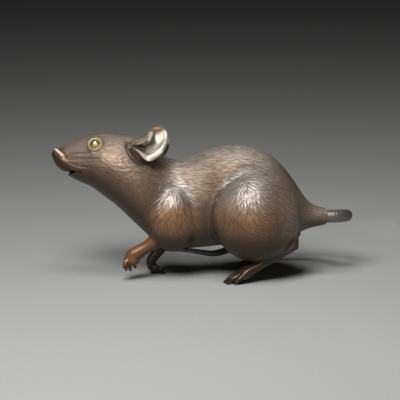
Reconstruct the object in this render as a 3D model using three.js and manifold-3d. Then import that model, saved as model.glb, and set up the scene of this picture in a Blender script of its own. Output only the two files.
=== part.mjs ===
// A cast bronze mouse caught at a run, about 120 mm long.
// The body is one casting. The blackened tail, seated in the rump's socket, and the two gilt eyes
// are separate pieces.
// Millimetres, +Z up. The nose points along -X, and the mouse's left flank faces -Y.
import * as THREE from 'three';
import { LoftGeometry } from 'three/addons/geometries/LoftGeometry.js';
import { mergeVertices } from 'three/addons/utils/BufferGeometryUtils.js';
import Module from 'manifold-3d';

// Driving dimensions
const HEAD_ROLL = THREE.MathUtils.degToRad(12); // the head is cocked, right ear down
const HEAD_AXIS_Z = 46; // height of the line that the head rolls about
const ROLL_FULL_X = -30; // ahead of this the whole head rolls
const ROLL_NONE_X = -6; // behind this the trunk is upright
const SQUARENESS = 2.08; // exponent of the trunk's superelliptic ribs
const SOCKET_X = 50.2; // open end of the tail's socket
const SOCKET_Z = 24.2;
const SOCKET_DEPTH = 1.6;
const SOCKET_RADIUS = 3.1; // outside of the socket's wall
const FIT_GAP = 0.3; // clearance round each inlaid piece
const TAIL_RADIUS = 2.6;
const TAIL_TIP_RADIUS = 0.75;
const TAIL_TAPER = 1.15; // exponent of the tail's taper
const EYE = [-42.3, -8.3, 52.8]; // left eye before the head rolls
const EYE_GAZE = [-0.2, -0.86, 0.47];
const EYE_RADIUS = 1.75;
const EYELID_RADIUS = 2.6; // centre line of the raised lid
const EYELID_THICKNESS = 0.58;
const EYELID_LIFT = 0.25; // how far the lid stands ahead of the eye's centre
const EAR_WALL = 1.1;
const EAR_EDGE_SHARE = 0.8; // the wall thins to this share at the rim
const EAR_CORE = 0.06; // size of the innermost ring as a share of the rim
const EAR_CUP_SAG = 2.4; // how far the cup and its back belly out
const EAR_BACK_SAG = 3.2;
const MOUTH = { centre: [-56.2, 0, 41.85], radii: [8.4, 11, 0.5] };
const NOSTRIL = { centre: [-59.0, -1.8, 46.9], radius: 0.75 };
const HAUNCH = { centre: [21.2, -11.4, 26.9], radii: [17.8, 12.2, 19.0], lean: 16 };
const SHOULDER = { centre: [-11.2, -8.8, 25.4], radii: [11.2, 7.8, 14.2], lean: 9 };
const RIGHT_FOOT = { back: 1.6, share: 0.84 }; // the right hind foot is drawn up under the rump
const FINGER_SHARE = 0.88; // fingers are slimmer than toes

// Trunk ribs from nose to tail socket: top and bottom points [x, z] on the midline, half width,
// and how far the widest level lies below the middle, as a share of the half height
const RIBS = [
  { part: 'nose tip', top: [-60.1, 50.3], bottom: [-60.2, 48.9], half: 0.7, low: 0 },
  { part: 'nose pad', top: [-58.9, 51.7], bottom: [-59.4, 46.9], half: 2.3, low: 0 },
  { part: 'nostrils', top: [-57.2, 51.8], bottom: [-58.3, 44.8], half: 3.5, low: 0.1 },
  { part: 'upper lip', top: [-54.6, 52.8], bottom: [-56.0, 42.7], half: 4.8, low: 0.2 },
  { part: 'chin', top: [-51.0, 54.5], bottom: [-53.2, 40.6], half: 5.9, low: 0.2 },
  { part: 'muzzle', top: [-46.9, 56.3], bottom: [-48.6, 38.2], half: 7.9, low: 0.15 },
  { part: 'eyes', top: [-42.4, 57.8], bottom: [-44.2, 36.4], half: 9.8, low: 0.1 },
  { part: 'brow', top: [-37.6, 58.2], bottom: [-39.4, 32.8], half: 11.3, low: 0.1 },
  { part: 'ears', top: [-32.0, 57.6], bottom: [-34.6, 29.3], half: 12.2, low: 0.1 },
  { part: 'nape', top: [-26.6, 56.4], bottom: [-29.4, 24.5], half: 12.3, low: 0.1 },
  { part: 'neck', top: [-20.4, 52.5], bottom: [-23.8, 19.2], half: 12.7, low: 0.22 },
  { part: 'withers', top: [-14.2, 48.2], bottom: [-18.4, 14.4], half: 12.8, low: 0.28 },
  { part: 'chest', top: [-8.4, 47.3], bottom: [-12.0, 11.8], half: 13.4, low: 0.3 },
  { part: 'ribs', top: [-2.4, 49.4], bottom: [-4.8, 11.8], half: 14.2, low: 0.28 },
  { part: 'loin', top: [4.0, 52.0], bottom: [2.4, 12.4], half: 15.2, low: 0.24 },
  { part: 'croup', top: [12.4, 53.2], bottom: [10.4, 13.2], half: 16.6, low: 0.2 },
  { part: 'hips', top: [20.0, 52.2], bottom: [18.4, 13.2], half: 17.4, low: 0.14 },
  { part: 'rump', top: [27.2, 49.0], bottom: [26.4, 13.6], half: 17.6, low: 0.02 },
  { part: 'buttocks', top: [33.6, 42.8], bottom: [32.8, 15.0], half: 16.6, low: -0.1 },
  { part: 'tail root', top: [38.4, 36.1], bottom: [38.4, 17.6], half: 12.0, low: -0.1 },
  { part: 'tail cone', top: [42.0, 31.0], bottom: [42.0, 19.1], half: 6.3, low: 0 },
  { part: 'collar', top: [45.6, 28.6], bottom: [45.6, 19.9], half: 4.4, low: 0 },
  { part: 'socket', top: [SOCKET_X, SOCKET_Z + SOCKET_RADIUS], bottom: [SOCKET_X, SOCKET_Z - SOCKET_RADIUS],
    half: SOCKET_RADIUS, low: 0 },
];

// Rim of the left ear's cup before the head rolls, from the notch along the lower rim to the tip and back
const EAR_RIM = [
  [-29.0, -8.6, 52.4],
  [-25.4, -11.4, 50.2],
  [-20.8, -14.6, 46.9],
  [-16.4, -16.8, 49.6],
  [-14.0, -17.9, 54.4],
  [-14.9, -17.2, 58.4],
  [-18.4, -14.6, 59.6],
  [-20.9, -11.6, 56.6],
  [-24.2, -9.2, 53.4],
];
const EAR_FLOOR = [-23.4, -6.2, 50.6]; // deepest point inside the cup
const EAR_ROOT = [-22.6, -3.6, 48.6]; // where the cup's back sinks into the head

// Fold of skin on the cheek in front of the left ear, before the head rolls
const EAR_FOLD = [
  { at: [-29.4, -8.7, 52.9], wide: 0.5, tall: 0.5 },
  { at: [-29.2, -10.0, 50.4], wide: 0.65, tall: 0.65 },
  { at: [-28.2, -10.8, 48.1], wide: 0.7, tall: 0.7 },
  { at: [-26.3, -11.0, 46.4], wide: 0.65, tall: 0.65 },
  { at: [-23.6, -10.5, 45.6], wide: 0.5, tall: 0.5 },
];

// Legs as swept stations: centre, half width across, half height
const LEFT_FORELEG = [
  { at: [-14.5, -9.5, 19.5], wide: 4.2, tall: 4.6 },
  { at: [-18.6, -10.2, 15.8], wide: 3.1, tall: 3.3 },
  { at: [-22.4, -10.6, 13.4], wide: 2.4, tall: 2.5 },
  { at: [-25.5, -10.8, 11.5], wide: 2.4, tall: 2.8 },
  { at: [-27.6, -10.8, 10.0], wide: 2.5, tall: 3.1 },
  { at: [-27.9, -10.8, 8.1], wide: 2.7, tall: 3.2 },
  { at: [-28.0, -10.7, 6.6], wide: 2.4, tall: 2.6 },
];
const LEFT_FINGERS = [
  [[-29.4, -12.0, 9.0], [-30.7, -13.0, 7.3], [-31.2, -13.4, 5.4]],
  [[-29.2, -11.4, 8.2], [-30.2, -11.7, 6.2], [-30.0, -11.8, 4.2]],
  [[-28.4, -10.5, 8.0], [-28.8, -10.2, 5.7], [-28.2, -10.1, 3.7]],
  [[-27.6, -9.8, 8.6], [-27.0, -9.0, 6.5], [-26.4, -8.7, 4.6]],
];
const RIGHT_FORELEG = [
  { at: [-13.4, 8.2, 19.0], wide: 4.2, tall: 4.8 },
  { at: [-14.8, 6.6, 13.2], wide: 3.2, tall: 3.2 },
  { at: [-17.4, 5.2, 9.4], wide: 2.4, tall: 2.4 },
  { at: [-20.0, 4.2, 6.2], wide: 2.1, tall: 2.1 },
  { at: [-20.8, 3.9, 3.9], wide: 2.4, tall: 2.0 },
  { at: [-19.2, 3.7, 2.2], wide: 2.7, tall: 1.8 },
  { at: [-17.8, 3.6, 1.7], wide: 2.4, tall: 1.4 },
];
const RIGHT_FINGERS = [
  [[-20.4, 3.1, 3.2], [-17.7, 1.6, 3.0], [-15.5, 0.9, 2.3]],
  [[-20.2, 3.4, 2.6], [-17.1, 2.7, 1.5], [-15.0, 2.5, 0.05]],
  [[-20.2, 4.2, 2.5], [-17.1, 4.4, 1.3], [-15.1, 4.5, 0.05]],
  [[-20.4, 4.7, 2.6], [-17.7, 5.8, 1.5], [-15.9, 6.4, 0.05]],
];
const LEFT_HIND_FOOT = [
  { at: [29.0, -11.5, 21.0], wide: 3.6, tall: 4.2 },
  { at: [35.2, -12.6, 18.4], wide: 2.8, tall: 3.0 },
  { at: [36.7, -13.2, 15.6], wide: 2.4, tall: 2.5 },
  { at: [33.0, -13.6, 12.6], wide: 2.3, tall: 1.9 },
  { at: [27.2, -14.0, 9.4], wide: 2.4, tall: 1.8 },
  { at: [22.0, -14.4, 6.8], wide: 3.0, tall: 2.1 },
  { at: [17.6, -14.8, 4.7], wide: 3.7, tall: 2.3 },
  { at: [14.6, -15.0, 3.4], wide: 3.6, tall: 2.0 },
];
const LEFT_TOES = [
  [[18.8, -17.0, 4.6], [15.4, -18.7, 2.9], [12.4, -19.6, -0.05]],
  [[17.4, -16.4, 4.4], [12.9, -17.5, 2.8], [9.5, -18.0, -0.05]],
  [[17.0, -15.0, 4.4], [12.0, -15.3, 2.8], [8.5, -15.4, -0.05]],
  [[17.2, -13.6, 4.4], [12.5, -13.1, 2.8], [9.1, -12.9, -0.05]],
  [[19.2, -12.8, 4.8], [15.8, -11.4, 3.0], [12.8, -10.6, -0.05]],
];
const DIGIT_RADII = [1.25, 1.1, 0.75]; // knuckle, middle, tip
const CAP_BENDS = [18, 52].map(THREE.MathUtils.degToRad); // where the rings of a rounded end lie on its arc

// The tail leaves the socket, loops behind the right haunch and tucks its tip under the belly
const TAIL_PATH = [
  [SOCKET_X - SOCKET_DEPTH + FIT_GAP, 0.0, SOCKET_Z],
  [54.2, 0.3, 24.2],
  [57.4, 3.2, 23.9],
  [58.2, 9.6, 22.8],
  [55.2, 18.0, 21.2],
  [47.6, 25.2, 19.4],
  [37.0, 28.2, 15.6],
  [26.0, 27.2, 11.2],
  [16.4, 22.6, 8.4],
  [9.2, 17.0, 6.7],
  [4.6, 12.6, 6.5],
  [0.0, 9.4, 7.6],
  [-5.2, 7.0, 8.9],
  [-10.4, 5.2, 9.6],
];

const AXIS_X = new THREE.Vector3(1, 0, 0);
const AXIS_Y = new THREE.Vector3(0, 1, 0);
const AXIS_Z = new THREE.Vector3(0, 0, 1);

const wasm = await Module();
wasm.setup();

const vector = (p) => (p.isVector3 ? p.clone() : new THREE.Vector3(...p));
const mirrored = ([x, y, z]) => [x, -y, z];

// A closed geometry as a solid that can be joined and cut.
function solid(geometry) {
  const bare = new THREE.BufferGeometry();
  bare.setAttribute('position', geometry.attributes.position);
  bare.setIndex(geometry.index);
  const merged = mergeVertices(bare, 1e-4);
  const index = merged.index.array;
  const triVerts = [];
  for (let i = 0; i < index.length; i += 3) {
    const [a, b, c] = [index[i], index[i + 1], index[i + 2]];
    if (a !== b && b !== c && c !== a) triVerts.push(a, b, c);
  }
  return new wasm.Manifold(
    new wasm.Mesh({
      numProp: 3,
      vertProperties: merged.attributes.position.array,
      triVerts: new Uint32Array(triVerts),
    }),
  );
}

// A solid's surface as a geometry with flat faces.
function geometryOf(made) {
  const { vertProperties, triVerts } = made.getMesh();
  const geometry = new THREE.BufferGeometry();
  geometry.setAttribute('position', new THREE.BufferAttribute(vertProperties, 3));
  geometry.setIndex(new THREE.BufferAttribute(triVerts, 1));
  const flat = geometry.toNonIndexed();
  flat.computeVertexNormals();
  return flat;
}

// The same geometry on the other flank.
function reflected(geometry) {
  const mirror = new THREE.BufferGeometry();
  const position = geometry.attributes.position.clone();
  for (let i = 0; i < position.count; i++) position.setY(i, -position.getY(i));
  mirror.setAttribute('position', position);
  mirror.setIndex(Array.from(geometry.index.array).reverse());
  return mirror;
}

// A smooth curve through rows of up to three numbers, all with the same parameter.
const through = (rows) => new THREE.CatmullRomCurve3(rows.map(vector), false, 'centripetal');

// Head roll at a station along the trunk.
function rollAt(x) {
  return HEAD_ROLL * (1 - THREE.MathUtils.smoothstep(x, ROLL_FULL_X, ROLL_NONE_X));
}

// Turns a point about the head's axis.
function rolled(point, angle) {
  const axis = new THREE.Vector3(point.x, 0, HEAD_AXIS_Z);
  return point.clone().sub(axis).applyAxisAngle(AXIS_X, -angle).add(axis);
}

// A closed skin over rings of points, drawn together to a point at both ends.
function skin(rings) {
  const gathered = (ring) => {
    const middle = ring.reduce((sum, p) => sum.add(p), new THREE.Vector3()).divideScalar(ring.length);
    return ring.map(() => middle.clone());
  };
  return new LoftGeometry([gathered(rings[0]), ...rings, gathered(rings.at(-1))]);
}

// Trunk and head as one loft of superelliptic ribs.
function trunk({ around = 28, count = 38 } = {}) {
  const top = through(RIBS.map((r) => [r.top[0], 0, r.top[1]]));
  const bottom = through(RIBS.map((r) => [r.bottom[0], 0, r.bottom[1]]));
  const girth = through(RIBS.map((r) => [r.half, r.low, 0]));
  const power = (value) => Math.sign(value) * Math.abs(value) ** (2 / SQUARENESS);
  const sections = [];
  for (let i = 0; i <= count; i++) {
    const even = i / count;
    const t = (even + top.getUtoTmapping(even)) / 2;
    const upper = top.getPoint(t);
    const lower = bottom.getPoint(t);
    const { x: half, y: low } = girth.getPoint(t);
    const centre = upper.clone().add(lower).multiplyScalar(0.5);
    const rise = upper.clone().sub(lower).multiplyScalar(0.5);
    const ring = [];
    for (let j = 0; j < around; j++) {
      const angle = (2 * Math.PI * j) / around;
      const across = power(Math.cos(angle));
      const up = power(Math.sin(angle)) - low * across * across;
      const point = centre.clone().addScaledVector(rise, up).addScaledVector(AXIS_Y, half * across);
      ring.push(rolled(point, rollAt(point.x)));
    }
    sections.push(ring);
  }
  return skin(sections);
}

// Places of the rings along a limb. An end is rounded off over its share of the length, and flat with none.
function placed(along, rootCap, tipCap) {
  const rings = [];
  for (const bend of rootCap ? CAP_BENDS : []) {
    rings.push({ t: rootCap * (1 - Math.cos(bend)), round: Math.sin(bend) });
  }
  for (let i = 0; i <= along; i++) {
    rings.push({ t: THREE.MathUtils.lerp(rootCap, 1 - tipCap, i / along), round: 1 });
  }
  for (const bend of tipCap ? CAP_BENDS.toReversed() : []) {
    rings.push({ t: 1 - tipCap * (1 - Math.cos(bend)), round: Math.sin(bend) });
  }
  return rings;
}

// A limb of elliptical sections along a smooth line, with its width laid along the side axis.
function limb(stations, { around = 9, along = 9, rootCap = 0, tipCap = 0.07, side = AXIS_Y } = {}) {
  const path = through(stations.map((s) => s.at));
  const sizes = through(stations.map((s) => [s.wide, s.tall, 0]));
  const sections = placed(along, rootCap, tipCap).map(({ t, round }) => {
    const tangent = path.getTangent(t);
    const across = side.clone().addScaledVector(tangent, -side.dot(tangent)).normalize();
    const up = tangent.clone().cross(across);
    const { x: wide, y: tall } = sizes.getPoint(t);
    const centre = path.getPoint(t);
    const ring = [];
    for (let j = 0; j < around; j++) {
      const angle = (2 * Math.PI * j) / around;
      const point = centre.clone();
      point.addScaledVector(across, wide * round * Math.cos(angle));
      point.addScaledVector(up, tall * round * Math.sin(angle));
      ring.push(point);
    }
    return ring;
  });
  return skin(sections);
}

// A finger or toe through its knuckle, middle and tip.
function digit(points, share = 1) {
  const stations = points.map((at, i) => {
    const radius = DIGIT_RADII[i] * share;
    return { at, wide: radius, tall: radius };
  });
  return limb(stations, { around: 6, along: 3 });
}

// An egg-shaped muscle on one flank, its top leaning in towards the spine.
function muscle({ centre, radii, lean }, side, around, down) {
  const egg = new THREE.SphereGeometry(1, around, down);
  egg.scale(...radii);
  egg.rotateX(-THREE.MathUtils.degToRad(lean));
  egg.translate(...centre);
  return side < 0 ? egg : reflected(egg);
}

// One ear as a closed cup: from the inner floor out to the rim, round it, and back to the root.
// Side -1 is the left ear.
function ear(side, { around = 18, across = 4 } = {}) {
  const place = (p) => rolled(vector(side < 0 ? p : mirrored(p)), HEAD_ROLL);
  const rim = new THREE.CatmullRomCurve3(EAR_RIM.map(place), true, 'centripetal');
  const floor = place(EAR_FLOOR);
  const root = place(EAR_ROOT);
  const deep = root.clone().sub(floor).normalize();
  const sections = [];
  const addRing = (pole, share, offset, sag) => {
    const ring = [];
    for (let j = 0; j < around; j++) {
      const edge = rim.getPoint(j / around);
      const point = pole.clone().lerp(edge, share);
      point.addScaledVector(deep, sag * share * (1 - share) + offset);
      ring.push(point);
    }
    sections.push(side > 0 ? ring : ring.reverse());
  };
  const step = (1 - EAR_CORE) / across;
  for (let i = 0; i <= across; i++) addRing(floor, EAR_CORE + step * i, 0, EAR_CUP_SAG);
  for (let i = 0; i <= across; i++) {
    const wall = i === 0 ? EAR_WALL * EAR_EDGE_SHARE : EAR_WALL;
    addRing(root, 1 - step * i, wall, EAR_BACK_SAG);
  }
  return skin(sections);
}

// The cheek fold on one side of the rolled head.
function earFold(side) {
  const place = (p) => rolled(vector(side < 0 ? p : mirrored(p)), HEAD_ROLL).toArray();
  const stations = EAR_FOLD.map((s) => ({ ...s, at: place(s.at) }));
  return limb(stations, { around: 6, along: 4, rootCap: 0.1, tipCap: 0.1 });
}

// Where an eye sits on the rolled head, and the way it looks.
function eyeFrame(side) {
  const flank = (p) => vector(side < 0 ? p : mirrored(p));
  const gaze = flank(EYE_GAZE).normalize().applyAxisAngle(AXIS_X, -HEAD_ROLL);
  return { centre: rolled(flank(EYE), HEAD_ROLL), gaze };
}

function eyeball(side, radius) {
  const { centre } = eyeFrame(side);
  return new THREE.SphereGeometry(radius, 12, 8).translate(centre.x, centre.y, centre.z);
}

function eyelid(side) {
  const { centre, gaze } = eyeFrame(side);
  const ring = new THREE.TorusGeometry(EYELID_RADIUS, EYELID_THICKNESS, 5, 15);
  ring.applyQuaternion(new THREE.Quaternion().setFromUnitVectors(AXIS_Z, gaze));
  const lift = centre.clone().addScaledVector(gaze, EYELID_LIFT);
  return ring.translate(lift.x, lift.y, lift.z);
}

// The slit between the lips, open in front and level with the rolled head.
function mouthSlit() {
  const slit = new THREE.SphereGeometry(1, 18, 6);
  slit.scale(...MOUTH.radii);
  slit.translate(MOUTH.centre[0], MOUTH.centre[1], MOUTH.centre[2] - HEAD_AXIS_Z);
  slit.rotateX(-HEAD_ROLL);
  return slit.translate(0, 0, HEAD_AXIS_Z);
}

function nostril(side) {
  const pit = rolled(vector(side < 0 ? NOSTRIL.centre : mirrored(NOSTRIL.centre)), HEAD_ROLL);
  return new THREE.SphereGeometry(NOSTRIL.radius, 7, 5).translate(pit.x, pit.y, pit.z);
}

function tailSocket() {
  const bore = new THREE.CylinderGeometry(TAIL_RADIUS + FIT_GAP, TAIL_RADIUS + FIT_GAP, 2 * SOCKET_DEPTH, 20);
  bore.rotateZ(Math.PI / 2);
  return bore.translate(SOCKET_X, 0, SOCKET_Z);
}

function join(geometries) {
  return geometries.map(solid).reduce((whole, next) => whole.add(next));
}

// The ground that the toes and fingers are filed flat on.
function ground() {
  return new THREE.BoxGeometry(200, 200, 10).translate(0, 0, -5);
}

// The casting: trunk, muscles, legs, ears and lids joined, then the mouth, nostrils, sockets and soles cut.
function castBody() {
  const heelX = LEFT_HIND_FOOT[2].at[0];
  const drawnUp = ([x, y, z]) => [heelX + (x - heelX) * RIGHT_FOOT.share + RIGHT_FOOT.back, -y, z];
  const rightHindFoot = LEFT_HIND_FOOT.map((s) => ({ ...s, at: drawnUp(s.at) }));
  const toes = [...LEFT_TOES, ...LEFT_TOES.map((toe) => toe.map(drawnUp))];
  const fingers = [...LEFT_FINGERS, ...RIGHT_FINGERS];
  const forms = [
    trunk(),
    ...[LEFT_FORELEG, RIGHT_FORELEG, LEFT_HIND_FOOT, rightHindFoot].map((leg) => limb(leg)),
    ...toes.map((toe) => digit(toe)),
    ...fingers.map((finger) => digit(finger, FINGER_SHARE)),
  ];
  const cuts = [mouthSlit(), tailSocket(), ground()];
  for (const side of [-1, 1]) {
    forms.push(muscle(HAUNCH, side, 20, 14), muscle(SHOULDER, side, 14, 10), ear(side));
    forms.push(earFold(side), eyelid(side));
    cuts.push(nostril(side), eyeball(side, EYE_RADIUS + FIT_GAP));
  }
  return join(forms).subtract(join(cuts));
}

function tail() {
  const last = TAIL_PATH.length - 1;
  const stations = TAIL_PATH.map((at, i) => {
    const radius = THREE.MathUtils.lerp(TAIL_RADIUS, TAIL_TIP_RADIUS, (i / last) ** TAIL_TAPER);
    return { at, wide: radius, tall: radius };
  });
  return limb(stations, { around: 10, along: 36, tipCap: 0.01, side: AXIS_Z });
}

const bronze = new THREE.MeshStandardMaterial({ color: 0x5a4636, roughness: 0.45, metalness: 1 });
const blackened = new THREE.MeshStandardMaterial({ color: 0x1f1d1b, roughness: 0.4, metalness: 1 });
const gilt = new THREE.MeshStandardMaterial({ color: 0xb9903f, roughness: 0.25, metalness: 1 });

function piece(name, geometry, material) {
  const mesh = new THREE.Mesh(geometry, material);
  mesh.name = name;
  return mesh;
}

const figure = new THREE.Group();
figure.add(
  piece('body', geometryOf(castBody()), bronze),
  piece('tail', geometryOf(solid(tail())), blackened),
  piece('eye_left', geometryOf(solid(eyeball(-1, EYE_RADIUS))), gilt),
  piece('eye_right', geometryOf(solid(eyeball(1, EYE_RADIUS))), gilt),
);

// The origin lies on the ground under the middle of the whole figure.
const extent = new THREE.Box3().setFromObject(figure);
const middle = extent.getCenter(new THREE.Vector3());
for (const mesh of figure.children) mesh.geometry.translate(-middle.x, -middle.y, -extent.min.z);

export default figure;
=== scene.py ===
import math

import bmesh
import bpy
import numpy as np
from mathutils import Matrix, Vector


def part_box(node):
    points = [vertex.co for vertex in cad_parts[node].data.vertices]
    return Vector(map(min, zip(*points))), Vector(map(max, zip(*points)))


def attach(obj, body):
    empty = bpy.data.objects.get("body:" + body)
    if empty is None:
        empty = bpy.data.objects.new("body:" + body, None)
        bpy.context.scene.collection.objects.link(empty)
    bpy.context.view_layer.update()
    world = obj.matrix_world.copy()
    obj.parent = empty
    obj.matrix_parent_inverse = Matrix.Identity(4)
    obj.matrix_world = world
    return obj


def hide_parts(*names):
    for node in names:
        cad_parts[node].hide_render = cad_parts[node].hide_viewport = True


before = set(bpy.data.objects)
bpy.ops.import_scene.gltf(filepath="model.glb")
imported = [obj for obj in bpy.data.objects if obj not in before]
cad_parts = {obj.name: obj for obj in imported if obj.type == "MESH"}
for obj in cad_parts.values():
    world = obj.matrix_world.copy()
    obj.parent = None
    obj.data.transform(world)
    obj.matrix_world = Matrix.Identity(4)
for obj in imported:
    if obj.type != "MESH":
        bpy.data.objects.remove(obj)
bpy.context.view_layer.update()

# The figure's own frame, in millimetres: y is 0 on the spine's plane, and the tail's socket ends at SOCKET_X
SOCKET_X = 50.2
MM_PER_METRE = 1000

# The cocked head: the roll is whole in front of ROLL_FULL_X and has gone at ROLL_NONE_X
HEAD_ROLL = math.radians(12)
HEAD_AXIS_Z = 46.0
ROLL_FULL_X, ROLL_NONE_X = -30.0, -6.0

# The eyes, on the upright head: bead, and the distances over which the lid round it and its gilding fade out
EYE = np.array([-42.3, 8.3, 52.8])
EYE_RADIUS = 1.75
EYE_GAZE = np.array([-0.2, 0.86, 0.47])
EYE_DENT_COUNT, EYE_DENT_DEPTH, EYE_DENT_SPREAD = 9, 0.018, 0.05
EYE_COLLAR_DEPTH = 0.05
EYE_COLLAR_TILT, EYE_COLLAR_WIDTH = 66, 5  # degrees from the gaze
EYE_SEEDS = {-1: 3, 1: 4}  # by flank
LID_FADE = 3.3, 4.0
LID_GILT_FADE = 3.0, 3.5

# The ears, on the upright head: the rim with the radius of its rolled edge at each point, and the cup's depth
EAR_RIM = np.array([
    [-29.0, 8.6, 52.4], [-25.4, 11.4, 50.2], [-20.8, 14.6, 46.9], [-16.4, 16.8, 49.6], [-14.0, 17.9, 54.4],
    [-14.9, 17.2, 58.4], [-18.4, 14.6, 59.6], [-20.9, 11.6, 56.6], [-24.2, 9.2, 53.4],
])
EAR_RIM_ROLL = np.array([0.30, 0.60, 1.30, 1.35, 0.80, 0.50, 0.40, 0.40, 0.35])
EAR_FLOOR = np.array([-23.4, 6.2, 50.6])
EAR_ROOT = np.array([-22.6, 3.6, 48.6])
EAR_CUP_SAG, EAR_BACK_SAG, EAR_BACK_GAP = 2.4, 3.2, 1.1
EAR_SWELL_HEIGHT, EAR_SWELL_WIDTH, EAR_SWELL_AT = 0.45, 1.5, 0.62  # the fold in the lining along the back rim
EAR_BOX_LOW = np.array([-32.0, 5.0, 43.0])
EAR_BOX_HIGH_X = -11.0
EAR_CHUNK = 3000  # points held against the ear at a time
# The front edge is turned over in a thick roll, with a painted highlight along its inner edge
EAR_FRONT = np.array([
    [-27.4, 8.2, 53.0], [-25.6, 8.3, 53.7], [-23.6, 8.9, 54.5], [-21.7, 10.2, 56.0], [-20.5, 11.9, 57.7],
    [-18.8, 13.9, 58.9], [-16.6, 15.9, 58.9],
])
EAR_FRONT_ROLL = np.array([0.50, 1.00, 1.20, 1.15, 0.90, 0.75, 0.60])
EAR_FRONT_EDGE = np.array([[-19.9, 12.1, 57.3], [-20.6, 10.4, 55.2], [-22.8, 9.1, 53.5], [-25.1, 8.5, 52.6]])
# Painted highlight on the front roll's inner edge, with painted shade beside it
EAR_FRONT_SHADE = np.array([0.7, 0.3, -1.3])  # from the bright inner edge to the shade beside it
# A fold runs down the cheek below the ear, with painted shade in the hollow behind it
EAR_FOLD = np.array([
    [-29.4, 8.7, 52.9], [-29.2, 10.0, 50.4], [-28.2, 10.9, 48.1], [-26.3, 11.2, 46.3], [-23.6, 10.7, 45.4],
])
EAR_FOLD_ROLL = np.array([0.35, 0.50, 0.55, 0.50, 0.35])
EAR_POCKET = np.array([[-28.0, 9.6, 50.8], [-26.4, 11.0, 48.6], [-23.8, 11.8, 46.8]])
# Each roll of an ear: its line, its radii, and whether it closes on itself
EAR_ROLLS = (
    (EAR_RIM, EAR_RIM_ROLL, True),
    (EAR_FRONT, EAR_FRONT_ROLL, False),
    (EAR_FOLD, EAR_FOLD_ROLL, False),
)
ROLL_STEPS = 12

# The face, on the upright head: the web inside the mouth, and the lines that are cut, as x and z or in full
MOUTH_WEB = np.array([[-52.4, 0.0, 42.1], [-50.6, 0.0, 42.2], [-48.6, 0.0, 42.3]])
MOUTH_WEB_RADIUS = 1.3
MOUTH_LINE = [(-54.6, 41.5), (-51.6, 42.0), (-48.2, 41.9)]
MOUTH_DEPTH, MOUTH_WIDTH = 0.50, 0.35
WHISKER_GROOVES = [
    [(-54.5, 47.9), (-52.8, 49.1), (-50.1, 49.7), (-45.4, 49.7)],
    [(-53.9, 47.3), (-49.1, 47.4), (-40.6, 47.0)],
    [(-52.4, 45.5), (-49.0, 44.4), (-45.4, 43.7)],
]
GROOVE_DEPTH, GROOVE_WIDTH = 0.25, 0.25
GROOVE_RIDGE, GROOVE_RIDGE_GAP, GROOVE_RIDGE_WIDTH = 0.05, 0.85, 0.45
# The nose's edge runs from its tip down to the nostril's wing, with a crease behind it
NOSE_EDGE = np.array([[-58.6, 1.2, 51.4], [-58.1, 1.9, 51.1], [-56.8, 3.3, 49.9], [-55.6, 4.3, 48.8]])
NOSE_EDGE_HEIGHT, NOSE_EDGE_WIDTH = 0.40, 0.5
NOSE_CREASE = np.array([[-56.2, 2.4, 51.2], [-55.0, 4.2, 49.5], [-54.3, 4.9, 48.1]])
NOSE_CREASE_DEPTH, NOSE_CREASE_WIDTH = 0.22, 0.45

# The two muscles that stand out from the trunk: centre, radii, and how far the top leans in to the spine
HAUNCH = np.array([21.2, 11.4, 26.9]), np.array([17.8, 12.2, 19.0]), math.radians(16)
SHOULDER = np.array([-11.2, 8.8, 25.4]), np.array([11.2, 7.8, 14.2]), math.radians(9)
# The crease in front of the thigh, with its place and width as shares of the haunch
THIGH_CREASE_DEPTH, THIGH_CREASE_AT, THIGH_CREASE_WIDTH = 0.30, 1.035, 0.03
SCORED_DEPTH = 0.3  # a line this deep is as dark as a stroke can be
# Bare paws and feet: the lines along their bones, and how far the bare metal reaches from each line
FEET = [
    (np.array([[-21.5, -10.6, 13.8], [-25.8, -10.8, 11.8], [-28.2, -10.8, 9.0], [-28.6, -10.8, 4.0]]), 5.2),
    (np.array([[-17.0, 5.2, 9.8], [-20.0, 4.2, 6.2], [-20.4, 3.8, 3.6], [-15.0, 3.8, 1.0]]), 5.0),
    (np.array([[36.6, -13.0, 16.6], [33.0, -13.6, 12.6], [22.0, -14.4, 6.8], [9.0, -15.4, 1.0]]), 5.4),
    (np.array([[38.2, 13.0, 16.6], [35.2, 13.6, 12.6], [26.0, 14.4, 6.8], [15.0, 15.4, 1.0]]), 5.4),
]
FOOT_EDGE = 1.6

# The tail: its course, its thickness, and the fine rings round it
TAIL_PATH = np.array([
    [48.9, 0.0, 24.2], [54.2, 0.3, 24.2], [57.4, 3.2, 23.9], [58.2, 9.6, 22.8], [55.2, 18.0, 21.2],
    [47.6, 25.2, 19.4], [37.0, 28.2, 15.6], [26.0, 27.2, 11.2], [16.4, 22.6, 8.4], [9.2, 17.0, 6.7],
    [4.6, 12.6, 6.5], [0.0, 9.4, 7.6], [-5.2, 7.0, 8.9], [-10.4, 5.2, 9.6],
])
TAIL_RADIUS, TAIL_TIP_RADIUS, TAIL_TIP_LENGTH = 2.6, 0.75, 1.2
TAIL_TAPER = 1.15
TAIL_SIDES = 28
TAIL_RING_SPACING = 0.0009  # metres
TAIL_RING_DEPTH = 0.035  # share of the radius

# The skin's mesh, and the fur that is chased into it
SKIN_VOXEL = 0.27
SKIN_TRIANGLES = 196000
DEEP_HOLLOW = 0.006  # a point this far below the mean of its neighbours lies in a full hollow
SHOULDER_WHORL = np.array([-10.9, 37.8])
THIGH_WHORL = np.array([17.3, 41.5])
FUR_SEED = 7
STROKE_SPACING, HEAD_STROKE_CLOSER = 0.74, 0.06
STROKE_ASPECT = 3.1
STROKE_TRIES = 70000
STROKE_LENGTH, HEAD_STROKE_SHORTER = 3.8, 1.1
STROKE_LENGTH_SPREAD = 0.75, 1.2
STROKE_WIDTHS = 0.19, 0.25
STROKE_WANDER = 0.08
STROKE_DEPTH = 0.21
STROKE_DEPTH_SPREAD = 0.65, 1.0
STROKE_REACH = 1.2  # a stroke doesn't mark what lies further than this above or below it
CELL = 2.0  # side of the cells in which neighbours are looked up

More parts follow.
